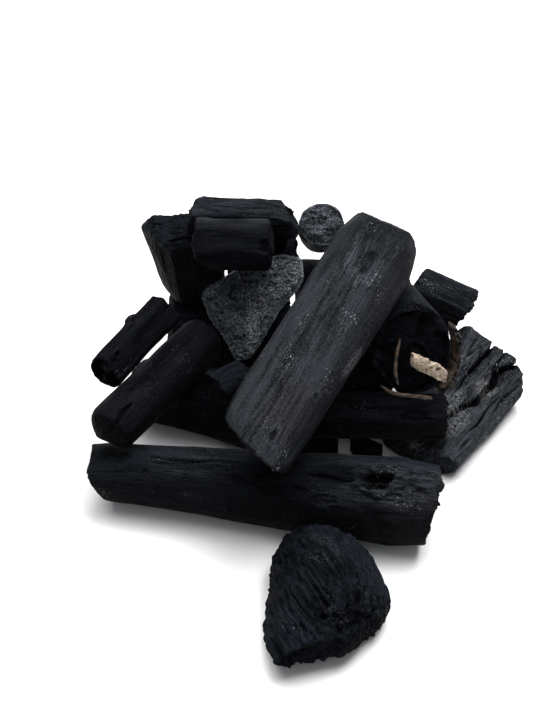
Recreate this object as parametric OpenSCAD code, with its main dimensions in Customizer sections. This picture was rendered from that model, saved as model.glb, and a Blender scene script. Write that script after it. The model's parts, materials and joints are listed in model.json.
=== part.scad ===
// A loose heap of hardwood charcoal: sticks, split blocks and broken chunks, piled by hand on a flat
// surface. Millimetres, +Z up. The heap stands on z = 0 with its middle over the origin, and -Y is the
// side it is looked at from. Every lump is one closed solid, drawn along its own grain and then laid.

/* [Front stick] */
// Length of the long stick that lies along the front
front_length = 175; // [160:1:190]
// Thickness of its wide right end
front_thick = 42; // [36:1:46]

/* [Diagonal stick] */
// Length of the smooth stick that leans over the heap
diagonal_length = 140; // [130:1:160]
// Thickness of its upper end
diagonal_thick = 45; // [38:1:48]

/* [Left sticks] */
// Length of the thin stick on the left
twig_length = 62; // [50:1:75]
// Thickness of the thin stick
twig_thick = 18; // [14:1:20]
// Length of the stick below it
prop_length = 84; // [70:1:90]
// Thickness of the stick below it
prop_thick = 25; // [20:1:26]

/* [Blocks at the back] */
// Length of the layered block at the top left
corner_length = 31.5; // [24:1:38]
// Height of the layered block
corner_thick = 48; // [40:1:52]
// Length of the slab on top
slab_length = 60; // [48:1:64]
// Width of the slab, front to back
slab_thick = 30; // [24:1:32]
// Length of the half-round block in front of the slab
half_round_length = 42; // [34:1:44]
// Height of the half-round block
half_round_thick = 30; // [24:1:31]
// Length of the porous wedge along its grain
wedge_length = 18; // [16:1:24]
// Height of the wedge's broken face
wedge_thick = 55; // [46:1:56]
// Length of the stick with a round end at the top
round_end_length = 58; // [45:1:60]
// Thickness of that stick
round_end_thick = 25; // [20:1:27]

/* [Right side] */
// Length of the block at the back right
back_right_length = 31; // [26:1:36]
// Thickness of that block
back_right_thick = 29; // [26:1:33]
// Length of the broken stick that shows its end
broken_length = 74; // [60:1:78]
// Thickness of the broken stick
broken_thick = 41; // [36:1:42]
// Length of the stick under it
under_length = 78; // [60:1:80]
// Thickness of the stick under it
under_thick = 23; // [18:1:24]
// Length of the cracked lump that leans at the right
cracked_length = 85; // [70:1:94]
// Width of the cracked lump
cracked_thick = 50; // [42:1:51]

/* [Front chunk] */
// Length of the fibrous chunk in front, front to back
chunk_length = 70; // [60:1:76]
// Width of the chunk
chunk_thick = 58; // [48:1:60]

/* [Hidden] */
// Middle of the heap's footprint, taken off every place below
heap_middle = [6.5, 9.5, 0];
// Points round each lump, and rings along it
sides = 24;
rings = 14;
// [length, thickness] of the lumps that hold the heap up inside and at the back
inner_chunk_size = [22, 18];
inner_base_size = [88, 32];
inner_right_size = [51, 37];
rear_base_size = [70, 43];
rear_right_size = [68, 40];
rear_middle_size = [39, 28];
rear_upper_size = [32, 18];
left_fragment_size = [27, 17];
right_fragment_size = [17, 14];
// A table of [place along the grain, value] that leaves a lump as it is
same = [[0, 1], [1, 1]];
still = [[0, 0], [1, 0]];
blunt = [[0, 0.86], [0.04, 1], [0.96, 1], [1, 0.86]];
round_outline = [[0, 1], [90, 1], [180, 1], [270, 1]];
char_black = [0.16, 0.16, 0.18];
char_grey = [0.3, 0.31, 0.33];
char_brown = [0.26, 0.24, 0.24];
bark_rust = [0.42, 0.27, 0.16];
bare_wood = [0.8, 0.68, 0.52];
// How far the broken stick's end leans back for each millimetre of height
broken_slope = 0.5;
// How the broken stick lies, for the stick and for the bark and fibres on its end
broken_place = [49, 61, 59];
broken_angles = [0, 8, 107];
// Points round each strip of bark or wood
strip_sides = 8;

function total(v) = v * [for (x = v) 1];

// Distance from the grain axis to the outline at angle a. Each face is [direction, distance], and a
// crispness of 2 gives an ellipse where 12 gives faces that meet in narrow rounded edges.
function reach(a, faces, crisp) =
    pow(total([for (f = faces) pow(max(0, cos(a - f[0])) / f[1], crisp)]), -1 / crisp);

// A lump drawn along +X with its middle at the origin. girth and height are scales along the grain,
// sideways and lift move its axis, and cut slopes the two ends by [sideways, upwards] amounts.
module lump(length, thick, faces = round_outline, crisp = 2, girth = blunt, height = same,
            sideways = still, lift = still, cut = [[0, 0], [0, 0]], crown = [1, 1],
            uneven = 0.02, turn = 0)
{
    half = thick / 2;
    stations = [for (k = [0:rings]) (1 - cos(180 * k / rings)) / 2];
    rows = concat([[0, 0.6]], [for (t = stations) [t, 1]], [[1, 0.6]]);
    outline = [for (j = [0:sides - 1]) half * reach(j * 360 / sides, faces, crisp)];
    function ripple(t, a) =
        1 + uneven * (sin(3 * a + 210 * t + turn) + 0.7 * sin(5 * a - 330 * t + 2 * turn));
    function spot(t, y, z, bulge = 0) = [
        (t - 0.5) * length + (1 - t) * (cut[0] * [y, z] - bulge * crown[0])
            + t * (cut[1] * [y, z] + bulge * crown[1]),
        y + lookup(t, sideways),
        z + lookup(t, lift)
    ];
    function ring_spot(row, j) =
        let (t = row[0], a = j * 360 / sides)
        let (r = outline[j] * row[1] * lookup(t, girth) * ripple(t, a))
        spot(t, r * cos(a), r * sin(a) * lookup(t, height), row[1] < 1 ? 0.7 : 0);
    skin = [for (row = rows) for (j = [0:sides - 1]) ring_spot(row, j)];
    last = len(rows) - 1;
    function at(k, j) = k * sides + j % sides;
    walls = [
        for (k = [0:last - 1]) for (j = [0:sides - 1])
            each [[at(k, j), at(k + 1, j), at(k, j + 1)], [at(k, j + 1), at(k + 1, j), at(k + 1, j + 1)]]
    ];
    near = len(skin);
    ends = [
        for (j = [0:sides - 1])
            each [[near, at(0, j), at(0, j + 1)], [near + 1, at(last, j + 1), at(last, j)]]
    ];
    polyhedron(concat(skin, [spot(0, 0, 0, 1), spot(1, 0, 0, 1)]), concat(walls, ends), convexity = 4);
}

// Lays a lump: turned about its grain, then tipped, then swung round, and moved to its place.
module lay(place, angles)
{
    translate(place - heap_middle) rotate(angles) children();
}

module front_stick()
{
    taper = [[0, 0.64], [0.05, 0.71], [0.35, 0.8], [0.7, 0.93], [0.9, 1.02], [1, 0.92]];
    color(char_grey) lay([-21, -28, 19.75], [0, -1, -9])
        lump(front_length, front_thick, crisp = 2.3, girth = taper, cut = [[0, -0.25], [0, 0.15]]);
}

module diagonal_stick()
{
    taper = [[0, 0.84], [0.06, 0.91], [0.5, 0.94], [0.9, 1], [1, 0.84]];
    color(char_grey) lay([10, 12.5, 85.5], [0, -17, 60])
        lump(diagonal_length, diagonal_thick, crisp = 2.2, girth = taper, cut = [[0.45, -0.5], [0, 0]],
            crown = [2, 5]);
}

module thin_left_stick()
{
    faces = [[0, 0.8], [60, 1.1], [150, 1], [240, 1.1], [300, 0.8]];
    color(char_grey) lay([-86.2, 33.2, 67.6], [0, -5, 59])
        lump(twig_length, twig_thick, faces, crisp = 3);
}

module lower_left_stick()
{
    color(char_brown) lay([-74, 17.6, 50.2], [0, -4, 56])
        lump(prop_length, prop_thick, crisp = 2.4, crown = [4, 2]);
}

module layered_block()
{
    faces = [[0, 0.9], [90, 0.88], [180, 0.42], [270, 1]];
    color(char_black) lay([-59.9, 95, 71], [0, -6, 0])
        lump(corner_length, corner_thick, faces, crisp = 7, cut = [[-0.5, -0.12], [0, 0]]);
}

module top_slab()
{
    faces = [[0, 0.6], [90, 0.42], [180, 0.6], [270, 0.52]];
    height = [[0, 0.75], [0.6, 0.95], [1, 1.2]];
    color(char_grey) lay([-32, 94, 103.5], [0, 0, -5])
        lump(slab_length, slab_thick, faces, crisp = 5, height = height, cut = [[0, 0], [0, -0.3]]);
}

module half_round_block()
{
    faces = [[0, 0.1], [90, 1], [180, 1], [270, 1]];
    color(char_grey) lay([-35.4, 74.6, 100], [0, 0, -3])
        lump(half_round_length, half_round_thick, faces, crisp = 2.2);
}

module wedge_chunk()
{
    faces = [[48, 0.87], [71, 0.81], [140, 1.37], [215, 0.52], [330, 0.72]];
    color(char_grey) lay([-27, 69, 59], [0, 33, 90])
        lump(wedge_length, wedge_thick, faces, crisp = 10);
}

module round_end_stick()
{
    color(char_grey) lay([13, 122.5, 74.2], [0, 39, 87]) lump(round_end_length, round_end_thick);
}

module back_right_block()
{
    faces = [[0, 0.8], [90, 0.9], [180, 0.8], [270, 1]];
    color(char_grey) lay([79, 95, 42.8], [0, 13, -22])
        lump(back_right_length, back_right_thick, faces, crisp = 6, cut = [[0, 0], [0, 0.35]]);
}

module broken_stick()
{
    taper = [[0, 0.92], [0.06, 1], [0.5, 0.98], [1, 0.82]];
    color(char_black) lay(broken_place, broken_angles)
        lump(broken_length, broken_thick, crisp = 2.1, girth = taper, cut = [[0, broken_slope], [0, 0]]);
}

module under_stick()
{
    color(char_brown) lay([38, 14, 31], [0, 0, -1]) lump(under_length, under_thick, crisp = 2.6);
}

module cracked_lump()
{
    faces = [[0, 0.9], [90, 0.5], [180, 1], [270, 0.5]];
    wedge = [[0, 0.62], [1, 1.25]];
    color(char_grey) lay([84.5, 42.5, 13], [0, -7, 54])
        lump(cracked_length, cracked_thick, faces, crisp = 5, height = wedge, cut = [[0, 0], [0.25, 0]]);
}

module front_chunk()
{
    faces = [[0, 1], [60, 0.75], [120, 0.75], [180, 1], [270, 0.48]];
    width = [[0, 0.62], [0.1, 0.75], [0.3, 0.88], [0.6, 1], [0.8, 0.93], [1, 0.56]];
    swing = [[0, -5], [0.1, -4], [0.3, -2], [0.6, 0], [0.8, -1], [1, -6]];
    height = [[0, 0.85], [0.4, 1], [0.7, 0.85], [1, 0.5]];
    color(char_black) lay([11, -94, 13.4], [0, 0, -92])
        lump(chunk_length, chunk_thick, faces, crisp = 4, girth = width, sideways = swing,
            height = height, cut = [[0, 0], [-0.3, 0]]);
}

module inner_chunk()
{
    color(char_black) lay([-37, 20, 47], [0, 0, 40])
        lump(inner_chunk_size[0], inner_chunk_size[1], crisp = 4);
}

module inner_base_stick()
{
    color(char_black) lay([-50, 38, 16.3], [0, 0, -21])
        lump(inner_base_size[0], inner_base_size[1], crisp = 2.3);
}

module inner_right_stick()
{
    color(char_black) lay([25.5, 49, 19], [0, 0, 8])
        lump(inner_right_size[0], inner_right_size[1], crisp = 3, cut = [[0, 0], [0.5, 0.15]]);
}

module rear_base_stick()
{
    color(char_black) lay([-39, 98, 21.85], [0, 0, 3])
        lump(rear_base_size[0], rear_base_size[1], crisp = 2.4);
}

module rear_right_stick()
{
    color(char_black) lay([33, 130, 20.4], [0, 0, -3])
        lump(rear_right_size[0], rear_right_size[1], crisp = 2.4);
}

module rear_middle_block()
{
    color(char_black) lay([-20, 112.5, 59], [0, 0, 3])
        lump(rear_middle_size[0], rear_middle_size[1], crisp = 5);
}

module rear_upper_block()
{
    color(char_black) lay([-21, 110, 84.5], [0, 0, 0])
        lump(rear_upper_size[0], rear_upper_size[1], crisp = 5);
}

module floor_fragment_left()
{
    faces = [[0, 0.6], [90, 1], [180, 0.7], [270, 0.9]];
    color(char_grey) lay([7, 14, 8.4], [0, 0, 12])
        lump(left_fragment_size[0], left_fragment_size[1], faces, crisp = 6);
}

module floor_fragment_right()
{
    faces = [[0, 0.7], [60, 1], [180, 0.8], [270, 0.8]];
    color(char_brown) lay([36, 15, 6], [0, 0, -35])
        lump(right_fragment_size[0], right_fragment_size[1], faces, crisp = 6);
}

// A strip that follows a list of points, with its width across the plane that the path turns in.
module strip(path, wide, thick, across = [1, 0, 0])
{
    last = len(path) - 1;
    function forward(k) = let (d = path[min(k + 1, last)] - path[max(k - 1, 0)]) d / norm(d);
    function outward(k) = let (n = cross(forward(k), across)) n / norm(n);
    function ring(k) = [
        for (j = [0:strip_sides - 1])
            let (a = j * 360 / strip_sides, s = k == 0 || k == last ? 0.6 : 1)
            path[k] + s * (wide / 2 * cos(a) * across + thick / 2 * sin(a) * outward(k))
    ];
    points = [for (k = [0:last]) each ring(k)];
    walls = [
        for (k = [0:last - 1]) for (j = [0:strip_sides - 1])
            let (a = k * strip_sides + j, b = k * strip_sides + (j + 1) % strip_sides)
            each [[a, a + strip_sides, b], [b, a + strip_sides, b + strip_sides]]
    ];
    near = [[for (j = [0:strip_sides - 1]) j]];
    far = [[for (j = [strip_sides - 1:-1:0]) last * strip_sides + j]];
    polyhedron(points, concat(walls, near, far), convexity = 4);
}

// Everything on the broken stick is drawn in the stick's own frame, with its broken end at -X.
module on_broken_stick()
{
    lay(broken_place, broken_angles) children();
}

// A place on the stick's sloping broken end, so far in front of it, at a radius and an angle.
function on_end(ahead, radius, a) =
    let (z = radius * sin(a))
    [broken_slope * z - broken_length / 2 - ahead, radius * cos(a), z];

module bark_strip()
{
    radius = broken_thick / 2 + 3.4;
    color(bark_rust) on_broken_stick()
        strip([for (a = [165:10:245]) on_end(-6, radius, a)], 15, 3.6);
}

module fibre_bundle()
{
    places = [[20.6, 262], [19.4, 273], [18.8, 285], [19.4, 298], [21.2, 311], [23.4, 324], [25.4, 337]];
    color(bark_rust) on_broken_stick() strip([for (p = places) on_end(4, p[0], p[1])], 3, 2);
}

module fibre_curl()
{
    places = [[17.8, -36], [16.6, -26], [15.2, -14], [13.5, 4], [12.9, 24], [13.6, 46]];
    color(bark_rust) on_broken_stick() strip([for (p = places) on_end(5, p[0], p[1])], 2, 2);
}

module wood_chip()
{
    color(bare_wood) on_broken_stick()
        strip([for (k = [0:4]) [-46.2 + 1.0 * k, -12 + 4.2 * k, -10 + 2 * k]], 3.4, 8);
}

front_stick();
diagonal_stick();
thin_left_stick();
lower_left_stick();
layered_block();
top_slab();
half_round_block();
wedge_chunk();
round_end_stick();
back_right_block();
broken_stick();
under_stick();
cracked_lump();
front_chunk();
inner_chunk();
inner_base_stick();
inner_right_stick();
rear_base_stick();
rear_right_stick();
rear_middle_block();
rear_upper_block();
floor_fragment_left();
floor_fragment_right();
bark_strip();
fibre_bundle();
fibre_curl();
wood_chip();
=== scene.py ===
"""Gives a heap of lump charcoal its looks: every lump is rebuilt from its solid with grain, cracks,
knots and broken ends, and stands on a plain pale floor. Metres, +Z up, as in the solids."""

import json
import math

import bpy
import numpy as np
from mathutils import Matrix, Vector


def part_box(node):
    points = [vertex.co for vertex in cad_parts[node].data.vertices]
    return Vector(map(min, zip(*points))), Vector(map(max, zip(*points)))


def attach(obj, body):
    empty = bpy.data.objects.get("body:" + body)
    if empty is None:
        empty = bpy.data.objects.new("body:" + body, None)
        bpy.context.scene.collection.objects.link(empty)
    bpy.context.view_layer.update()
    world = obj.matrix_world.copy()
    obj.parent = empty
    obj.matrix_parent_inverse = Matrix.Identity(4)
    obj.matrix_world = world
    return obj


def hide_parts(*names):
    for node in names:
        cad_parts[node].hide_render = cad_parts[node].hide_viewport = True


bl_info = {
    "name": "Lump Charcoal Heap",
    "version": (1, 0, 0),
    "blender": (4, 5, 0),
    "location": "3D View > Sidebar > Charcoal",
    "description": "Builds the lumps of a charcoal heap with grain, cracks, knots and broken ends",
    "category": "Add Mesh",
}

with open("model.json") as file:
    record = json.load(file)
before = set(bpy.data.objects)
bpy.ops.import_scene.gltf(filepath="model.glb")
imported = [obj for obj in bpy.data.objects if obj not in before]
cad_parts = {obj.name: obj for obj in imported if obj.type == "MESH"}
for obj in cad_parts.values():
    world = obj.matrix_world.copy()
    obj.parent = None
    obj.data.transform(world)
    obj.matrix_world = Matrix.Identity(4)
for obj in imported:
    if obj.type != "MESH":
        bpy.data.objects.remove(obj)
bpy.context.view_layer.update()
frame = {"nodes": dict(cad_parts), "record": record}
BODY_OF = {
    node: body for body, nodes in frame["record"]["behaviour"]["bodies"].items() for node in nodes
}
SLOT_OF = {part["node"]: part["material_slot"] for part in frame["record"]["subparts"]}
MM = 0.001
# The direction of the painted light: sides that face it are painted lighter and sides that face away
# are painted darker as painted shade
PAINTED_LIGHT_FROM = np.array((0.2, 0.0, 0.98))
# Charred wood hardly shines, and half-burnt fibres shine a little
CHAR_SHINE, FIBRE_SHINE, FLOOR_SHINE = 0.03, 0.3, 0.1
# How much brighter than a finish's light tone its ash flakes and its painted ridge highlights are, and
# the tint of its warm patches
FLAKE_AND_HIGHLIGHT_BRIGHTNESS = 1.9
WARM_TINT = (0.95, 0.78, 0.68)
# The floor lies just under the lumps, which stand on 0
FLOOR_DEPTH = 0.6 * MM
FLOOR_WIDTH = 12
SKY_COLOUR = (0.93, 0.96, 1, 1)


# ---------------------------------------------------------------- settings


class CharcoalLumps(bpy.types.PropertyGroup):
    """How finely and how roughly the lumps are made."""

    grid: bpy.props.FloatProperty(
        name="Grid", description="Spacing of each lump's first mesh", default=1.4 * MM, unit="LENGTH"
    )
    relief: bpy.props.FloatProperty(
        name="Relief", description="Scale of all ridges, pits and cracks", default=1.0, min=0.0
    )


class CharcoalColours(bpy.types.PropertyGroup):
    """Colours that the finishes share."""

    # Painted shade: this colour is painted into the bottoms of cracks and pits and into pores and
    # checks
    soot: bpy.props.FloatVectorProperty(
        name="Soot",
        description="Colour of the bottoms of cracks and pits",
        subtype="COLOR",
        default=(0.0010, 0.0011, 0.0016),
    )
    # Both the pale ash crust and the painted glints use this colour
    ash_and_glint: bpy.props.FloatVectorProperty(
        name="Sparkle",
        description="Colour of the small bright ash specks",
        subtype="COLOR",
        default=(0.42, 0.43, 0.44),
    )


class CharcoalStage(bpy.types.PropertyGroup):
    """Camera, floor and lights."""

    elevation: bpy.props.FloatProperty(
        name="Elevation",
        description="Camera's tilt below level",
        default=math.radians(40),
        unit="ROTATION",
    )
    distance: bpy.props.FloatProperty(
        name="Distance", description="From the camera to what it looks at", default=0.75, unit="LENGTH"
    )
    lens: bpy.props.FloatProperty(
        name="Lens", description="Camera's focal length", default=71.65, unit="CAMERA"
    )
    target: bpy.props.FloatVectorProperty(
        name="Target",
        description="What the camera looks at",
        subtype="TRANSLATION",
        default=(-0.0245, 0.0305, 0.05),
    )
    floor: bpy.props.FloatVectorProperty(
        name="Floor", description="Colour of the floor", subtype="COLOR", default=(0.9, 0.9, 0.9)
    )
    key: bpy.props.FloatProperty(
        name="Key Light", description="Power of the light above the back", default=16, unit="POWER"
    )
    front: bpy.props.FloatProperty(
        name="Front Light", description="Power of the light in front", default=1, unit="POWER"
    )
    top: bpy.props.FloatProperty(
        name="Top Light", description="Power of the wide light overhead", default=24, unit="POWER"
    )
    sky: bpy.props.FloatProperty(
        name="Sky", description="Strength of the even light from all round", default=0.25, min=0.0
    )


# ---------------------------------------------------------------- noise

PRIMES = np.array((374761393, 668265263, 1440662683))
SEED_STEP = 1274126177
MASK = 0xFFFFFFFF


def noise(places, seed=0):
    """Smooth noise from -1 to 1, from a fixed random number at every whole-number corner."""
    cell = np.floor(places)
    part = places - cell
    u, v, w = (part * part * (3 - 2 * part)).T.copy()
    x, y, z = (cell.astype(np.int64) * PRIMES).T.copy()
    value = 0
    for i, j, k in np.ndindex(2, 2, 2):
        mixed = x + y + z + (i * PRIMES[0] + j * PRIMES[1] + k * PRIMES[2] + seed * SEED_STEP)
        mixed &= MASK
        mixed = ((mixed ^ (mixed >> 13)) * SEED_STEP) & MASK
        weight = (u if i else 1 - u) * (v if j else 1 - v) * (w if k else 1 - w)
        value = value + weight * ((mixed ^ (mixed >> 16)) & 0xFFFF)
    return value * (2 / 0xFFFF) - 1


def layered_noise(places, seed, octaves):
    """Noise with finer and weaker copies of itself added, brought back to about -1 to 1."""
    return sum(noise(places * 2**k, seed + 17 * k) / 2**k for k in range(octaves)) / 1.5


def smooth(low, high, values):
    """0 below low and 1 above high, with a soft step between."""
    part = np.clip((values - low) / (high - low), 0, 1)
    return part * part * (3 - 2 * part)


# ---------------------------------------------------------------- lumps


class Lump:
    """A solid's surface as points in its own grain frame, in millimetres: X along the grain, Y to
    its side and Z up. Angles are round the grain, from Y towards Z."""

    def __init__(self, node, yaw, pitch=0.0, seed=0, grid=None, fan=0.0):
        settings = bpy.context.scene.charcoal_lumps
        self.node, self.seed, self.relief_scale = node, seed, settings.relief
        source = frame["nodes"][node]
        self.piece = bpy.data.objects.new(node + "_lump", source.data.copy())
        bpy.context.scene.collection.objects.link(self.piece)
        self.piece.data.materials.clear()
        remesh = self.piece.modifiers.new("grid", "REMESH")
        remesh.mode, remesh.voxel_size = "VOXEL", grid or settings.grid
        fine = self.piece.modifiers.new("fine", "SUBSURF")
        fine.levels = fine.render_levels = 1
        ready = self.piece.evaluated_get(bpy.context.evaluated_depsgraph_get())
        mesh = bpy.data.meshes.new_from_object(ready)
        self.piece.modifiers.clear()
        self.piece.data = mesh
        mesh.name = self.piece.name
        low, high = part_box(node)
        self.middle = np.array((low + high) / 2) / MM
        self.axes = self.turn(2, math.radians(yaw)) @ self.turn(1, math.radians(pitch))
        count = len(mesh.vertices)
        spots, normals = np.empty(count * 3), np.empty(count * 3)
        mesh.vertices.foreach_get("co", spots)
        mesh.vertex_normals.foreach_get("vector", normals)
        self.rest = (spots.reshape(-1, 3) / MM - self.middle) @ self.axes
        self.now = self.rest.copy()
        self.normal = normals.reshape(-1, 3) @ self.axes
        self.end = smooth(0.55, 0.9, np.abs(self.normal[:, 0]))
        self.relief, self.fresh, self.soot, self.warm, self.frost = np.zeros((5, count))
        self.angle = np.degrees(np.arctan2(self.rest[:, 2], self.rest[:, 1]))
        self.radius = np.hypot(self.rest[:, 1], self.rest[:, 2])
        self.half = self.rest[:, 0].max()
        self.grain = self.rest.copy()
        self.grain[:, 1] *= 1 - fan * self.rest[:, 0] / self.half

    @staticmethod
    def turn(axis, angle):
        """A rotation matrix about one axis."""
        matrix = np.eye(3)
        i, j = (axis + 1) % 3, (axis + 2) % 3
        matrix[i, i] = matrix[j, j] = math.cos(angle)
        matrix[i, j], matrix[j, i] = -math.sin(angle), math.sin(angle)
        return matrix

    def along(self, length, width, shift=0, octaves=1, near=slice(None)):
        """Noise drawn out along the grain: length along it and width across it."""
        places = self.grain[near] / (length, width, width)
        return layered_noise(places, self.seed + shift, octaves)

    def swell(self, amount):
        """Moves the surface out, or in where amount is negative."""
        amount = amount * self.relief_scale
        self.now += self.normal * amount[:, None]
        self.relief += amount

    def chop(self, direction, depth, wave=0.5, fresh=1.0):
        """Breaks a flat facet off, depth below the furthest point in that direction."""
        towards = np.array(direction, float)
        towards /= np.linalg.norm(towards)
        reach = self.now @ towards - ((self.now @ towards).max() - depth)
        near = np.flatnonzero(reach > -1.5 * wave)
        uneven = wave * self.along(14, 5, 71, near=near)
        uneven = uneven + 0.4 * wave * self.along(3, 1.2, 72, near=near)
        over = np.maximum(reach[near] - uneven, 0)
        self.now[near] -= over[:, None] * towards
        self.fresh[near] = np.maximum(self.fresh[near], fresh * smooth(0, 0.6, over))

    def facet(self, angle, depth, tilt=0.0, wave=0.5, fresh=0.5):
        """A facet that runs along the grain, on the side at this angle, tilted towards +X."""
        a, t = math.radians(angle), math.radians(tilt)
        direction = (math.sin(t), math.cos(t) * math.cos(a), math.cos(t) * math.sin(a))
        self.chop(direction, depth, wave, fresh)

    def skin(self, ridges=0.3, spacing=3.0, lumps=0.8, fine=0.12, length=40.0, grit=0.06):
        """Grain ridges, broad unevenness, fine fibres on the sides, and grit all over."""
        side = 1 - self.end
        split = 1 - 2 * np.abs(self.along(length, spacing, 1))
        self.swell(side * ridges * np.minimum(split, 0.4))
        self.now += self.normal * (lumps * self.along(32, 16, 2, octaves=2))[:, None]
        self.swell(side * fine * self.along(9, 1.0, 3))
        self.swell(grit * self.along(2.6, 1.7, 4))

    def stain(self, layer, x, angle, length, width, amount=1.0):
        """Lays soot or painted shade, a warm tint or pale frost over a soft-edged oval patch."""
        away = self.spot(x, angle, length, width) + 0.35 * self.along(12, 5, 95)
        values = getattr(self, layer)
        np.maximum(values, amount * (1 - smooth(0.5, 1.15, away)), out=values)

    def square(self, amount):
        """Makes a rounded cross-section squarer."""
        across = self.now[:, 1:]
        reach = np.abs(across) / np.abs(across).max(axis=0)
        grow = np.linalg.norm(reach, axis=1) / np.maximum(reach.max(axis=1), 0.05)
        across *= (np.minimum(grow, 1.4) ** amount)[:, None]

    def layers(self, depth, spacing):
        """Growth layers on the far end, drawn out from side to side."""
        places = self.rest / (spacing, spacing, 7 * spacing)
        sheet = 1 - 2 * np.abs(layered_noise(places, self.seed + 44, 2))
        top = self.end * (self.rest[:, 0] > 0)
        self.swell(depth * top * np.minimum(sheet, 0.3))

    def painted_shade_on_ends(self):
        """Paints shade on the broken ends, leaving them darker than the sides."""
        self.soot = np.maximum(self.soot, self.end)

    def broken_ends(self, near=2.0, far=2.0, grit=0.5, size=5.0):
        """Ragged fibre ends: steps along the grain that differ from fibre bundle to bundle."""
        across = self.rest * (0.02, 1, 1)
        step = layered_noise(across / size, self.seed + 5, 2)
        bristle = noise(across / 0.9 + self.rest * (0.02, 0, 0), self.seed + 6)
        stepped = np.round(step * 2.5) / 2.5 * 0.6 + step * 0.4
        for sign, jag in ((-1, near), (1, far)):
            zone = smooth(0.35, 0.8, sign * self.normal[:, 0])
            self.now[:, 0] -= sign * zone * (jag * (0.7 - stepped) + grit * bristle)
            self.relief -= zone * (0.25 * jag * (0.2 - stepped) + 0.4 * grit * bristle)
            self.fresh = np.maximum(self.fresh, zone)

    def groove(self, start, stop, width, depth, wander=1.5, shift=0):
        """A crack from one (X, angle) to another, widest in its middle."""
        (x0, a0), (x1, a1) = start, stop
        part = (self.rest[:, 0] - x0) / (x1 - x0)
        centre = a0 + (a1 - a0) * part
        gap = np.radians((self.angle - centre + 180) % 360 - 180) * np.maximum(self.radius, 3)
        near = np.flatnonzero((np.abs(part - 0.5) < 0.54) & (np.abs(gap) < wander + 2 * width))
        part, gap, rest = part[near], gap[near], self.rest[near]
        gap = gap - wander * noise(rest * (0.09, 0, 0), self.seed + 31 + shift)
        fray = 0.25 * width * noise(rest * (0.2, 0.05, 0.05), self.seed + 32 + shift)
        inside = smooth(-0.03, 0.12, part) * smooth(-0.03, 0.12, 1 - part)
        opening = width * (0.45 + 0.55 * np.sin(np.pi * np.clip(part, 0, 1))) + fray
        cut = np.exp(-((gap / np.maximum(opening, 0.3)) ** 4)) * inside
        amount = np.zeros(len(self.rest))
        amount[near] = -depth * cut * (1 - 0.5 * self.end[near])
        self.swell(amount)

    def cracks(self, count, depth, width, length, angles=(0, 360), shift=0):
        """Short cracks along the grain, scattered over a range of angles."""
        draw = np.random.default_rng(self.seed + 900 + shift)
        for k in range(count):
            x = draw.uniform(-0.85, 0.85) * self.half
            a = draw.uniform(*angles)
            run = length * draw.uniform(0.5, 1.2)
            self.groove(
                (x - run / 2, a),
                (x + run / 2, a + draw.uniform(-8, 8)),
                width * draw.uniform(0.6, 1.2),
                depth * draw.uniform(0.5, 1.1),
                shift=40 * k + shift,
            )

    def spot(self, x, angle, length, width):
        """Distance from a place on the surface, 1 at the edge of an oval there."""
        sideways = np.radians((self.angle - angle + 180) % 360 - 180) * self.radius
        warp = 0.12 * self.along(6, 4, 51)
        return np.hypot((self.rest[:, 0] - x) / (length / 2), sideways / (width / 2)) * (1 + warp)

    def knot(self, x, angle, length, width, height, pit):
        """Where a branch left the stick: a folded rim with rings round a ragged hollow."""
        away = self.spot(x, angle, length, width) * (1 + 0.45 * self.along(5, 3, 52, octaves=2))
        rim = np.exp(-(((away - 0.8) / 0.3) ** 2))
        swollen = 0.5 * np.exp(-((away / 1.25) ** 2))
        self.swell(height * (swollen + 0.6 * rim * (1 + 0.6 * self.along(4, 2, 53))))
        self.swell(-pit * np.exp(-((away / 0.55) ** 4)) * (1 + 0.5 * self.along(4, 2, 54)))
        rings = np.sin(away * 14)
        self.swell(0.22 * rings * np.exp(-((away / 1.2) ** 4)))

    def scar(self, x, angle, length, width, depth):
        """A shallow flat-bottomed chip with a crisp edge."""
        away = self.spot(x, angle, length, width) + 0.4 * self.along(7, 1.5, 61)
        inside = 1 - smooth(0.75, 1.0, away)
        deep = inside * (depth + 0.3 * self.along(5, 1.2, 62))
        self.now -= self.normal * deep[:, None]
        self.relief -= 0.6 * deep
        self.fresh = np.maximum(self.fresh, 0.8 * inside)

    def pits(self, depth, size, amount=0.35, where=1.0, shift=0):
        """Scattered round pits."""
        grain = noise(self.rest / size, self.seed + 81 + shift)
        self.swell(-depth * smooth(1 - 2 * amount, 1, grain) * where)

    def finish(self, ash=0.0):
        """Writes the shape back, with the facts that the finishes read. Ash lightens every side."""
        mesh = self.piece.data
        spots = (self.now @ self.axes.T + self.middle) * MM
        mesh.vertices.foreach_set("co", spots.ravel())
        mesh.update()
        facing = np.empty(len(spots) * 3)
        mesh.vertex_normals.foreach_get("vector", facing)
        facing = facing.reshape(-1, 3) @ PAINTED_LIGHT_FROM
        facts = {
            "relief": np.clip(0.5 + self.relief / 3, 0, 1),
            "fresh": self.fresh,
            "end": self.end,
            "soot": self.soot,
            "warm": self.warm,
            "frost": self.frost,
            # Painted light and shade: sides facing PAINTED_LIGHT_FROM are painted lighter, the others
            # darker; ash lightens every side
            "dust": np.maximum(smooth(0, 0.9, facing + 0.15 * self.along(18, 7, 91)), ash),
        }
        for name, values in facts.items():
            layer = mesh.attributes.new(name, "FLOAT", "POINT")
            layer.data.foreach_set("value", values.astype(np.float32))
        layer = mesh.attributes.new("grain", "FLOAT_VECTOR", "POINT")
        offset = np.array((37.0, 53.0, 71.0)) * (self.seed % 23)
        layer.data.foreach_set("vector", (self.grain + offset).astype(np.float32).ravel())
        mesh.shade_smooth()
        mesh.materials.clear()
        mesh.update()
        slot = SLOT_OF[self.node]
        if slot not in MADE:
            MADE[slot] = FINISHES[slot]()
        mesh.materials.append(MADE[slot])
        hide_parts(self.node)
        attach(self.piece, BODY_OF[self.node])


# ---------------------------------------------------------------- shader maths


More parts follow.
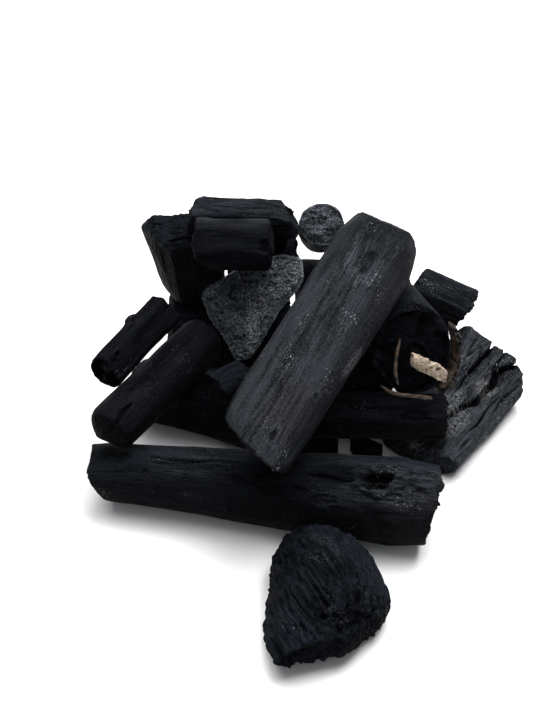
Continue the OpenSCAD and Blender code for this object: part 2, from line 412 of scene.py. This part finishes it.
class Value:
    """A node socket that Python's operators work on."""

    def __init__(self, tree, socket):
        self.tree, self.socket = tree, socket

    def math(self, operation, *others):
        """A Math node with this value first."""
        return self.tree.node("ShaderNodeMath", {"operation": operation}, (self, *others))

    def __add__(self, other):
        return self.math("ADD", other)

    __radd__ = __add__

    def __sub__(self, other):
        return self.math("SUBTRACT", other)

    def __rsub__(self, other):
        return self.tree.node("ShaderNodeMath", {"operation": "SUBTRACT"}, (other, self))

    def __mul__(self, other):
        return self.math("MULTIPLY", other)

    __rmul__ = __mul__

    def step(self, low, high):
        """0 below low and 1 above high, with a soft step between."""
        return self.tree.node(
            "ShaderNodeMapRange",
            {"interpolation_type": "SMOOTHSTEP"},
            {"Value": self, "From Min": low, "From Max": high},
        )

    def scaled(self, *factors):
        """A vector times a number for each axis."""
        return self.tree.node(
            "ShaderNodeVectorMath", {"operation": "MULTIPLY"}, {0: self, 1: factors}, "Vector"
        )


class Finish:
    """A material and the nodes it is built from."""

    def __init__(self, name):
        self.material = bpy.data.materials.new(name)
        self.material.use_nodes = True
        self.tree = self.material.node_tree
        self.shader = self.tree.nodes["Principled BSDF"]

    def node(self, kind, settings=None, inputs=(), output=0):
        """Any node, from its type, its settings, and its sockets' values or links."""
        made = self.tree.nodes.new(kind)
        for name, value in (settings or {}).items():
            setattr(made, name, value)
        pairs = inputs.items() if isinstance(inputs, dict) else enumerate(inputs)
        for name, value in pairs:
            self.feed(made.inputs[name], value)
        return Value(self, made.outputs[output])

    def feed(self, socket, value):
        """Links a value to a socket, or sets it."""
        if isinstance(value, Value):
            self.tree.links.new(value.socket, socket)
        elif socket.type == "RGBA" and len(value) == 3:
            socket.default_value = (*value, 1)
        else:
            socket.default_value = value

    def fact(self, name, output="Fac"):
        """One of the facts that Lump.finish writes on a mesh."""
        return self.node("ShaderNodeAttribute", {"attribute_name": name}, {}, output)

    def noise(self, vector, detail, roughness):
        inputs = {"Vector": vector, "Scale": 1.0, "Detail": detail, "Roughness": roughness}
        return self.node("ShaderNodeTexNoise", None, inputs, "Fac")

    def cells(self, vector, feature="F1"):
        inputs = {"Vector": vector, "Scale": 1.0}
        return self.node("ShaderNodeTexVoronoi", {"feature": feature}, inputs, "Distance")

    def mix(self, factor, first, second):
        """The first colour where the factor is 0, the second where it is 1."""
        colours = {0: factor, 6: first, 7: second}
        return self.node("ShaderNodeMix", {"data_type": "RGBA"}, colours, 2)

    def bump(self, height, distance):
        return self.node("ShaderNodeBump", None, {"Height": height, "Distance": distance})

    def shade(self, **sockets):
        """Feeds the Principled shader's sockets, whose spaces are written as underscores."""
        for name, value in sockets.items():
            self.feed(self.shader.inputs[name.replace("_", " ")], value)


def charcoal(
    name, dark, light, tint, tinted=0.5, painted_shade_level=0.12, fibre=1.0, pores=0.3, checked=0.5, specks=0.2,
    rough=0.62, bump=1.0,
):
    """Charred wood: streaks and fibres along the grain, pores, small checks, soot and painted shade,
    ash specks and painted glints, and painted light by which way each side faces.
    """
    colours = bpy.context.scene.charcoal_colours
    f = Finish(name)
    grain = f.fact("grain", "Vector")
    relief, fresh, end, dust = (f.fact(word) for word in ("relief", "fresh", "end", "dust"))
    black, ash_and_glint = tuple(colours.soot), tuple(colours.ash_and_glint)
    bright = tuple(FLAKE_AND_HIGHLIGHT_BRIGHTNESS * part for part in light)
    brown = tuple(part * warm for part, warm in zip(light, WARM_TINT, strict=True))
    side = 1 - end
    # Noise from long streaks to fine flecks, with the blotches and patches that vary it
    streak = f.noise(grain.scaled(0.02, 0.3, 0.3), 5, 0.65)
    thread = f.noise(grain.scaled(0.05, 1.1, 1.1), 3, 0.6)
    grit = f.noise(grain.scaled(0.9, 1.1, 1.1), 4, 0.65)
    blotch = f.noise(grain.scaled(0.035, 0.06, 0.06), 4, 0.6)
    patch = f.noise(grain.scaled(0.09, 0.14, 0.14), 2, 0.5)
    fleck = f.noise(grain.scaled(1.6, 2.4, 2.4), 2, 0.7)
    # Tone between dark and light, painted lighter on sides that face the painted light and darker on
    # the others as painted shade, lifted where there is ash, tinted in blotches
    tone = streak * 0.55 + thread * side * (0.45 * fibre) + grit * 0.5 + fleck * 0.6 + blotch * 0.45
    tone = (tone - (1.05 + 0.225 * fibre)).step(-0.19, 0.21)
    lit = painted_shade_level + (1 - painted_shade_level) * dust
    base = f.mix(tone * lit, dark, light)
    base = f.mix(blotch.step(0.47, 0.62) * tone * lit * tinted, base, tint)
    base = f.mix(f.fact("warm") * tone * lit, base, brown)
    base = f.mix(fresh * patch.step(0.35, 0.6) * 0.5, base, dark)
    # Bright ash flakes on the ends, stronger where the painted light falls
    base = f.mix(end * grit.step(0.36, 0.7) * lit * 0.55, base, bright)
    # Pores drawn out along the grain, and small checks between cells of a bent grain
    holes = 1 - f.cells(grain.scaled(0.25, 1.0, 1.0)).step(0.12, 0.36)
    holes = holes * patch.step(0.42, 0.6) * pores
    drift = f.node("ShaderNodeTexNoise", None, {"Vector": grain, "Scale": 0.25}, "Color")
    bent = grain + drift.scaled(9, 3, 3)
    checks = 1 - f.cells(bent.scaled(0.11, 0.32, 0.32), "DISTANCE_TO_EDGE").step(0.0, 0.05)
    checks = checks * patch.step(0.5, 0.64) * checked
    # Painted shade: black in the hollows, pores and checks; a painted highlight on the ridges; then
    # soot and painted shade, ash crust and painted glints on top
    base = f.mix((1 - relief.step(0.1, 0.5)) * 0.92, base, black)
    base = f.mix(holes.math("MAXIMUM", checks), base, black)
    # Painted highlight along the raised ridges, where the painted light falls
    base = f.mix(relief.step(0.52, 0.75) * thread.step(0.4, 0.65) * lit * 0.5, base, bright)
    # Soot, and painted shade from the shaded stains and broken ends
    base = f.mix(f.fact("soot") * 0.85, base, dark)
    crust = f.fact("frost") * (grit * 0.5 + fleck * 0.5).step(0.46, 0.66)
    base = f.mix(crust * 0.8, base, ash_and_glint)
    # Painted glints: small bright specks in clusters, kept off soot and painted shade
    glint = f.noise(grain.scaled(0.9, 1.2, 1.2), 2, 0.5).step(0.6, 0.7)
    cluster = f.noise(grain.scaled(0.05, 0.09, 0.09), 2, 0.5).step(0.55, 0.68)
    clean = 1 - f.fact("soot")
    base = f.mix(glint * (cluster + 0.08) * specks * clean, base, ash_and_glint)
    # The same marks as relief and gloss
    height = streak * 1.2 + thread * side * (0.8 * fibre) + grit * (0.9 + 0.4 * end) + fleck * 0.5
    height = height - holes * 0.7 - checks * 0.9
    gloss = rough + 0.22 * (grit - 0.5) + 0.18 * (streak - 0.5)
    normal = f.bump(height, 1.2 * MM * bump)
    f.shade(Base_Color=base, Roughness=gloss, Normal=normal, Specular_IOR_Level=CHAR_SHINE)
    return f.material


def fibre_finish(name, dark, light, char, charred):
    """Half-burnt wood fibre: pale and dark threads, blackened in patches."""
    f = Finish(name)
    grain = f.fact("grain", "Vector")
    thread = f.noise(grain.scaled(0.12, 2.4, 2.4), 4, 0.6)
    blotch = f.noise(grain.scaled(0.22, 0.3, 0.3), 3, 0.6)
    base = f.mix(thread.step(0.35, 0.62), dark, light)
    base = f.mix(blotch.step(0.62 - 0.3 * charred, 0.75 - 0.2 * charred), base, char)
    normal = f.bump(thread + 0.4 * blotch, 0.6 * MM)
    gloss = 0.6 + 0.3 * (thread - 0.5)
    f.shade(Base_Color=base, Roughness=gloss, Normal=normal, Specular_IOR_Level=FIBRE_SHINE)
    return f.material


# Finishes already made, and how to make each material slot's finish: its dark, light and tint
# colours for charred wood, and its dark, light and char colours for fibres
MADE = {}
FINISHES = {
    "char_green_grey": lambda: charcoal(
        "char_green_grey", (0.0012, 0.0015, 0.0024), (0.0215, 0.0255, 0.0305), (0.0060, 0.0075, 0.0135),
        tinted=0.8, pores=0.5, specks=0.3,
    ),
    "char_smooth": lambda: charcoal(
        "char_smooth", (0.0038, 0.0044, 0.0062), (0.044, 0.0485, 0.056), (0.032, 0.033, 0.044),
        tinted=0.7, pores=0.3, checked=0.15, specks=0.6, bump=1.1,
    ),
    "char_brown_grey": lambda: charcoal(
        "char_brown_grey", (0.0004, 0.0006, 0.0012), (0.0078, 0.0088, 0.0118), (0.0066, 0.0074, 0.0112),
        painted_shade_level=0.05, specks=0.12,
    ),
    # A darker copy of the charred wood for the lumps deep in the heap: painted shade
    "char_dark": lambda: charcoal(
        "char_dark", (0.0004, 0.0006, 0.0013), (0.0100, 0.0125, 0.0170), (0.003, 0.004, 0.008),
        painted_shade_level=0.05, specks=0.2, checked=0.4,
    ),
    "char_porous": lambda: charcoal(
        "char_porous", (0.014, 0.016, 0.020), (0.135, 0.152, 0.172), (0.070, 0.080, 0.094),
        painted_shade_level=0.2, pores=0.8, specks=1.8, bump=1.3,
    ),
    "char_fibre": lambda: fibre_finish(
        "char_fibre", (0.012, 0.007, 0.004), (0.095, 0.058, 0.032), (0.004, 0.0035, 0.0035), 0.75
    ),
    "bark": lambda: fibre_finish(
        "bark", (0.010, 0.006, 0.004), (0.070, 0.038, 0.019), (0.004, 0.003, 0.003), 0.9
    ),
    "bare_wood": lambda: fibre_finish(
        "bare_wood", (0.13, 0.085, 0.055), (0.52, 0.42, 0.32), (0.035, 0.02, 0.012), 0.35
    ),
}


# ---------------------------------------------------------------- pieces


class AddFrontStick(bpy.types.Operator):
    """The long stick along the front, with a knot near its right end."""

    bl_idname = "charcoal.front_stick"
    bl_label = "Front Stick"

    def execute(self, context):
        stick = Lump("front_stick", yaw=-9, pitch=-1, seed=3)
        stick.skin(ridges=0.35, spacing=3.2, lumps=1.5, fine=0.16, length=26, grit=0.09)
        stick.facet(118, 1.2, wave=0.6, fresh=0.0)
        stick.facet(70, 1.5, tilt=-2, wave=0.6, fresh=0.0)
        stick.broken_ends(near=3.0, far=2.5)
        stick.chop((-0.9, -0.2, 0.4), 3.0, wave=1.2, fresh=0.3)
        stick.chop((-0.85, -0.3, -0.4), 4, wave=1.2, fresh=0.3)
        stick.knot(59, 103, 24, 17, 2.6, 6.0)
        stick.knot(82, 92, 16, 12, 2.6, 0.4)
        chips = (
            (48, 92, 18, 5, 1.4),
            (14, 132, 26, 8, 1.0),
            (-4, 118, 18, 6, 0.8),
            (34, 142, 14, 6, 0.8),
            (-36, 100, 40, 5, 0.8),
            (-62, 120, 14, 4, 0.7),
        )
        for chip in chips:
            stick.scar(*chip)
        stick.groove((-60, 84), (-8, 88), 0.8, 1.6)
        stick.groove((22, 104), (52, 108), 0.7, 1.6, shift=4)
        stick.pits(0.6, 2.6, 0.22)
        stick.stain("soot", 4, 130, 76, 46, 0.65)
        stick.stain("soot", 40, 98, 34, 14, 0.9)
        stick.stain("soot", -52, 150, 40, 22, 0.5)
        stick.stain("warm", 70, 150, 60, 40, 0.9)
        stick.cracks(16, 0.9, 0.4, 16)
        stick.finish()
        return {"FINISHED"}


class AddDiagonalStick(bpy.types.Operator):
    """The big smooth stick that leans over the heap."""

    bl_idname = "charcoal.diagonal_stick"
    bl_label = "Diagonal Stick"

    def execute(self, context):
        stick = Lump("diagonal_stick", yaw=60, pitch=-17, seed=8)
        stick.skin(ridges=0.16, spacing=2.6, lumps=0.8, fine=0.13, length=60)
        stick.facet(60, 1.6, wave=0.35, fresh=0.0)
        stick.facet(165, 1.4, wave=0.3, fresh=0.0)
        stick.broken_ends(near=1.6, far=1.8)
        stick.chop((0.8, -0.1, 0.6), 4, wave=0.8, fresh=0.4)
        stick.knot(40, 106, 26, 16, 0.9, 1.2)
        stick.knot(-66, 122, 11, 7, 0.6, 1.1)
        stick.knot(-36, 149, 6, 5, 0.6, 0.8)
        stick.scar(52, 128, 20, 7, 0.5)
        stick.stain("soot", 60, 110, 34, 60, 0.55)
        stick.stain("frost", -4, 188, 24, 10, 0.6)
        # Painted shade along the stick's whole lower side
        stick.stain("soot", 0, 184, 160, 15, 0.7)
        stick.stain("warm", -50, 120, 40, 30, 0.5)
        stick.cracks(6, 0.6, 0.3, 22)
        stick.finish()
        return {"FINISHED"}


class AddLeftSticks(bpy.types.Operator):
    """The thin stick on the left and the stick below it."""

    bl_idname = "charcoal.left_sticks"
    bl_label = "Left Sticks"

    def execute(self, context):
        thin = Lump("thin_left_stick", yaw=59, pitch=-5, seed=12)
        thin.skin(ridges=0.4, spacing=2.4, lumps=0.9, grit=0.1)
        thin.chop((0.95, 0, 0.3), 7, wave=0.8)
        thin.facet(80, 1.4)
        thin.facet(150, 1.2)
        thin.broken_ends(near=8.0, far=2.5, size=4)
        thin.knot(3, 62, 6, 5, 2.2, 0.0)
        thin.knot(-21, 118, 5, 4, 0.4, 1.5)
        thin.cracks(8, 1.2, 0.6, 14)
        thin.finish()
        lower = Lump("lower_left_stick", yaw=56, pitch=-4, seed=14)
        lower.skin(ridges=0.35, spacing=3.2, lumps=1.0)
        lower.facet(95, 1.5, fresh=0.1)
        lower.facet(150, 1.0, tilt=-4, fresh=0.1)
        lower.broken_ends(near=1.2, far=2.0, grit=0.3)
        lower.chop((-0.85, -0.1, -0.5), 2.5, wave=1.0, fresh=0.2)
        lower.groove((-30, 92), (14, 86), 0.8, 1.4)
        lower.groove((-46, 120), (-26, 112), 1.6, 2.2, shift=7)
        lower.stain("warm", -20, 110, 60, 30, 0.7)
        lower.cracks(7, 0.9, 0.4, 16)
        lower.finish()
        return {"FINISHED"}


class AddBackBlocks(bpy.types.Operator):
    """The split blocks piled at the back left."""

    bl_idname = "charcoal.back_blocks"
    bl_label = "Blocks At The Back"

    def execute(self, context):
        corner = Lump("layered_block", yaw=0, pitch=-96, seed=21)
        corner.skin(ridges=0.8, spacing=3.5, lumps=1.8, fine=0.25, length=26, grit=0.15)
        corner.layers(2.6, 2.4)
        corner.chop((0.75, 0.0, 0.65), 4, wave=1.8, fresh=0.0)
        corner.facet(135, 2.5, tilt=-2, wave=1.2, fresh=0.0)
        corner.broken_ends(near=2.5, far=2.0, grit=0.5)
        # Painted shade on the block's front face
        corner.stain("soot", -4, 205, 60, 26, 0.8)
        corner.cracks(12, 1.6, 0.5, 18)
        corner.finish(ash=0.35)
        slab = Lump("top_slab", yaw=-5, seed=22)
        slab.skin(ridges=0.9, spacing=3.2, lumps=2.2, fine=0.3, length=20, grit=0.25)
        breaks = (
            ((-0.75, 0.3, 0.6), 6, 2.2),
            ((0.8, 0.3, 0.55), 5, 2.2),
            ((0.3, -0.4, 0.8), 2.5, 1.6),
            ((-0.85, -0.4, 0.3), 3, 1.6),
            ((0.2, 0.85, 0.4), 3, 2.2),
        )
        for direction, depth, wave in breaks:
            slab.chop(direction, depth, wave, fresh=0.0)
        slab.broken_ends(near=3.0, far=3.0, size=8)
        slab.cracks(16, 1.6, 0.5, 20)
        slab.finish(ash=0.3)
        half = Lump("half_round_block", yaw=-3, seed=23)
        half.skin(ridges=0.22, spacing=2.5, lumps=0.8, fine=0.12)
        half.broken_ends(near=2.0, far=1.6)
        half.facet(150, 1.6, fresh=0.0)
        half.chop((-0.6, -0.4, -0.7), 5, wave=0.8)
        half.scar(17, 140, 5, 8, 1.4)
        # Painted shade over the block's front
        half.stain("soot", 0, 160, 300, 60)
        half.cracks(6, 0.8, 0.4, 20)
        half.finish()
        return {"FINISHED"}


class AddWedge(bpy.types.Operator):
    """The porous wedge broken across its grain."""

    bl_idname = "charcoal.wedge"
    bl_label = "Porous Wedge"

    def execute(self, context):
        wedge = Lump("wedge_chunk", yaw=90, pitch=33, seed=31)
        wedge.skin(ridges=0.5, spacing=3, lumps=2.4, fine=0.2, length=20, grit=0.4)
        wedge.broken_ends(near=1.6, far=1.6, grit=0.7, size=9)
        wedge.pits(1.2, 2.4, 0.3, wedge.end)
        wedge.pits(0.8, 1.3, 0.3, wedge.end, 3)
        wedge.pits(2.4, 6.0, 0.2, wedge.end, 7)
        wedge.stain("frost", -20, 145, 60, 18)
        wedge.stain("frost", -20, 268, 60, 9, 0.8)
        wedge.stain("frost", -20, 190, 60, 8, 0.6)
        wedge.finish(ash=0.95)
        return {"FINISHED"}


class AddRearLumps(bpy.types.Operator):
    """The stick with a round end at the top, and the block at the back right."""

    bl_idname = "charcoal.rear_lumps"
    bl_label = "Rear Lumps"

    def execute(self, context):
        round_end = Lump("round_end_stick", yaw=87, pitch=39, seed=41)
        round_end.skin(ridges=0.4, spacing=3, lumps=1.3)
        for angle in (20, 95, 160, 235):
            round_end.facet(angle, 0.8)
        round_end.broken_ends(near=1.6, far=2.0, grit=0.6)
        round_end.pits(0.8, 1.6, 0.28, round_end.end)
        round_end.finish(ash=0.6)
        block = Lump("back_right_block", yaw=-22, pitch=13, seed=42)
        block.skin(ridges=0.6, spacing=3.0, lumps=1.2, grit=0.12)
        block.chop((0.3, -0.2, 0.9), 2.5, wave=0.8)
        block.broken_ends(near=2.0, far=2.5)
        block.cracks(12, 1.4, 0.5, 20)
        block.finish(ash=0.7)
        return {"FINISHED"}


class AddBrokenStick(bpy.types.Operator):
    """The stick that shows its dark broken end, and the bark, fibres and wood left on it."""

    bl_idname = "charcoal.broken_stick"
    bl_label = "Broken Stick"

    def execute(self, context):
        stick = Lump("broken_stick", yaw=107, pitch=8, seed=51)
        stick.skin(ridges=0.4, spacing=3.5, lumps=0.9)
        stick.broken_ends(near=4.0, far=2.0, grit=0.6, size=9)
        stick.chop((-0.9, 0.3, 0.3), 3.5, wave=1.2)
        stick.chop((-0.8, -0.1, 0.6), 3, wave=1.2)
        stick.knot(-32, 316, 44, 24, 3.0, 0.0)
        stick.groove((-40, 108), (-22, 124), 2.0, 4.0, shift=3)
        stick.scar(-26, 131, 12, 7, 2.6)
        # Painted shade on the broken ends
        stick.painted_shade_on_ends()
        stick.finish(ash=0.3)
        bark = Lump("bark_strip", yaw=107, pitch=8, seed=52, grid=0.8 * MM)
        bark.skin(ridges=0.7, spacing=1.8, lumps=1.4, fine=0.3, length=20)
        bark.broken_ends(near=5.0, far=5.0, size=2)
        bark.cracks(10, 1.5, 0.4, 12)
        bark.finish()
        chip = Lump("wood_chip", yaw=25, pitch=-10, seed=53, grid=0.45 * MM)
        chip.square(1.0)
        chip.skin(ridges=0.35, spacing=1.2, lumps=0.3, fine=0.15, length=12)
        chip.broken_ends(near=1.5, far=3.5, grit=0.4, size=1.5)
        chip.finish()
        for node, seed in (("fibre_bundle", 54), ("fibre_curl", 55)):
            fibre = Lump(node, yaw=0, seed=seed, grid=0.3 * MM)
            fibre.skin(ridges=0.5, spacing=0.7, lumps=0.7, fine=0.15, length=6)
            fibre.finish()
        return {"FINISHED"}


class AddRightLumps(bpy.types.Operator):
    """The grey lump with long cracks at the right, and the stick under the broken one."""

    bl_idname = "charcoal.right_lumps"
    bl_label = "Right Lumps"

    def execute(self, context):
        lump = Lump("cracked_lump", yaw=54, pitch=-7, seed=61, fan=0.2)
        lump.skin(ridges=1.0, spacing=3.4, lumps=1.8, fine=0.3, length=24, grit=0.5)
        lump.facet(130, 2.0, tilt=4, wave=1.2, fresh=0.2)
        lump.broken_ends(near=3.0, far=4.0, size=7)
        lump.groove((-2, 108), (46, 100), 1.0, 6.0, wander=1.6)
        lump.groove((-30, 144), (48, 156), 1.1, 6.5, wander=1.8, shift=3)
        lump.groove((-40, 120), (-14, 128), 0.8, 3.0, wander=1.6, shift=9)
        lump.groove((-2, 172), (40, 176), 0.8, 4.0, wander=1.6, shift=12)
        lump.cracks(22, 2.0, 0.5, 22, (60, 180))
        lump.pits(0.8, 1.8, 0.3)
        lump.stain("frost", -16, 128, 34, 18, 0.9)
        lump.stain("frost", -38, 86, 20, 16, 0.9)
        lump.stain("frost", -23, 151, 26, 10, 0.8)
        lump.stain("frost", 8, 152, 14, 8, 0.8)
        lump.stain("warm", 8, 152, 16, 10)
        lump.finish(ash=0.95)
        under = Lump("under_stick", yaw=-1, seed=63)
        under.skin(ridges=0.35, spacing=3, lumps=1.1)
        under.facet(130, 1.0, fresh=0.1)
        under.broken_ends(near=2.0, far=2.0)
        under.scar(-8, 110, 22, 8, 1.2)
        under.scar(20, 140, 18, 6, 1.0)
        under.cracks(8, 0.9, 0.5, 20)
        under.finish()
        return {"FINISHED"}


class AddFrontChunk(bpy.types.Operator):
    """The fibrous chunk that lies alone in front."""

    bl_idname = "charcoal.front_chunk"
    bl_label = "Front Chunk"

    def execute(self, context):
        chunk = Lump("front_chunk", yaw=-64, seed=71)
        chunk.skin(ridges=4.2, spacing=3.2, lumps=1.8, fine=0.8, length=22, grit=0.6)
        chunk.swell(1.2 * chunk.along(12, 1.8, 9))
        chunk.broken_ends(near=1.5, far=1.5, size=5)
        chunk.cracks(26, 1.8, 0.5, 16, (10, 170), shift=5)
        chunk.stain("soot", -10, 120, 90, 50, 0.4)
        chunk.stain("frost", -16, 60, 30, 8, 0.12)
        chunk.finish(ash=0.1)
        return {"FINISHED"}


class AddHiddenLumps(bpy.types.Operator):
    """The lumps inside and behind the heap that the others rest on."""

    bl_idname = "charcoal.hidden_lumps"
    bl_label = "Inner And Rear Lumps"

    def execute(self, context):
        yaws = {
            "inner_chunk": 40,
            "inner_base_stick": -21,
            "inner_right_stick": 8,
            "rear_base_stick": 3,
            "rear_right_stick": -3,
            "rear_middle_block": 3,
            "rear_upper_block": 0,
            "floor_fragment_left": 12,
            "floor_fragment_right": -35,
        }
        for k, (node, yaw) in enumerate(yaws.items()):
            lump = Lump(node, yaw=yaw, seed=81 + k, grid=2 * MM)
            lump.skin(ridges=0.5, spacing=3.2, lumps=1.0)
            lump.facet(120, 1.2)
            lump.facet(40, 1.0)
            lump.broken_ends(near=2.0, far=2.0)
            lump.cracks(6, 1.0, 0.5, 18)
            lump.finish()
        return {"FINISHED"}


# ---------------------------------------------------------------- stage


class AddStage(bpy.types.Operator):
    """The pale floor, the soft lights and the camera."""

    bl_idname = "charcoal.stage"
    bl_label = "Stage"

    def execute(self, context):
        stage = context.scene.charcoal_stage
        bpy.ops.mesh.primitive_plane_add(size=FLOOR_WIDTH, location=(0, 0, -FLOOR_DEPTH))
        floor = context.object
        floor.name = "floor"
        finish = Finish("floor")
        finish.shade(
            Base_Color=tuple(stage.floor), Roughness=0.9, Specular_IOR_Level=FLOOR_SHINE
        )
        floor.data.materials.append(finish.material)
        self.light("key", (0.25, 0.35, 1.1), 0.9, stage.key)
        self.light("front", (-0.2, -0.9, 0.9), 0.9, stage.front)
        self.light("top", (-0.05, 0.25, 1.3), 1.5, stage.top)
        world = context.scene.world or bpy.data.worlds.new("soft")
        context.scene.world = world
        world.use_nodes = True
        sky = world.node_tree.nodes["Background"]
        sky.inputs["Color"].default_value = SKY_COLOUR
        sky.inputs["Strength"].default_value = stage.sky
        context.scene.view_settings.view_transform = "Standard"
        data = bpy.data.cameras.new("camera")
        data.sensor_fit, data.sensor_height, data.lens = "VERTICAL", 36, stage.lens
        data.clip_start = 0.01
        camera = bpy.data.objects.new("camera", data)
        context.scene.collection.objects.link(camera)
        looking = Vector((0, math.cos(stage.elevation), -math.sin(stage.elevation)))
        camera.location = Vector(stage.target) - stage.distance * looking
        camera.rotation_euler = (math.pi / 2 - stage.elevation, 0, 0)
        context.scene.camera = camera
        return {"FINISHED"}

    @staticmethod
    def light(name, place, size, power):
        """A square soft light that faces the heap."""
        data = bpy.data.lights.new(name, "AREA")
        data.size, data.energy = size, power
        lamp = bpy.data.objects.new(name, data)
        lamp.location = place
        lamp.rotation_euler = (-Vector(place)).to_track_quat("-Z", "Y").to_euler()
        bpy.context.scene.collection.objects.link(lamp)


# ---------------------------------------------------------------- panel and run

OPERATORS = (
    AddStage,
    AddFrontStick,
    AddDiagonalStick,
    AddLeftSticks,
    AddBackBlocks,
    AddWedge,
    AddRearLumps,
    AddBrokenStick,
    AddRightLumps,
    AddFrontChunk,
    AddHiddenLumps,
)


class CharcoalPanel(bpy.types.Panel):
    """Buttons for each group of lumps."""

    bl_idname = "VIEW3D_PT_charcoal"
    bl_label = "Charcoal Heap"
    bl_space_type = "VIEW_3D"
    bl_region_type = "UI"
    bl_category = "Charcoal"

    def draw(self, context):
        for operator in OPERATORS:
            self.layout.operator(operator.bl_idname)


CLASSES = (CharcoalLumps, CharcoalColours, CharcoalStage, *OPERATORS, CharcoalPanel)
GROUPS = {
    "charcoal_lumps": CharcoalLumps,
    "charcoal_colours": CharcoalColours,
    "charcoal_stage": CharcoalStage,
}


def register():
    for item in CLASSES:
        bpy.utils.register_class(item)
    for name, group in GROUPS.items():
        setattr(bpy.types.Scene, name, bpy.props.PointerProperty(type=group))


def unregister():
    for name in GROUPS:
        delattr(bpy.types.Scene, name)
    for item in reversed(CLASSES):
        bpy.utils.unregister_class(item)


def main():
    register()
    for operator in OPERATORS:
        group, name = operator.bl_idname.split(".")
        getattr(getattr(bpy.ops, group), name)()


if __name__ == "__main__":
    main()
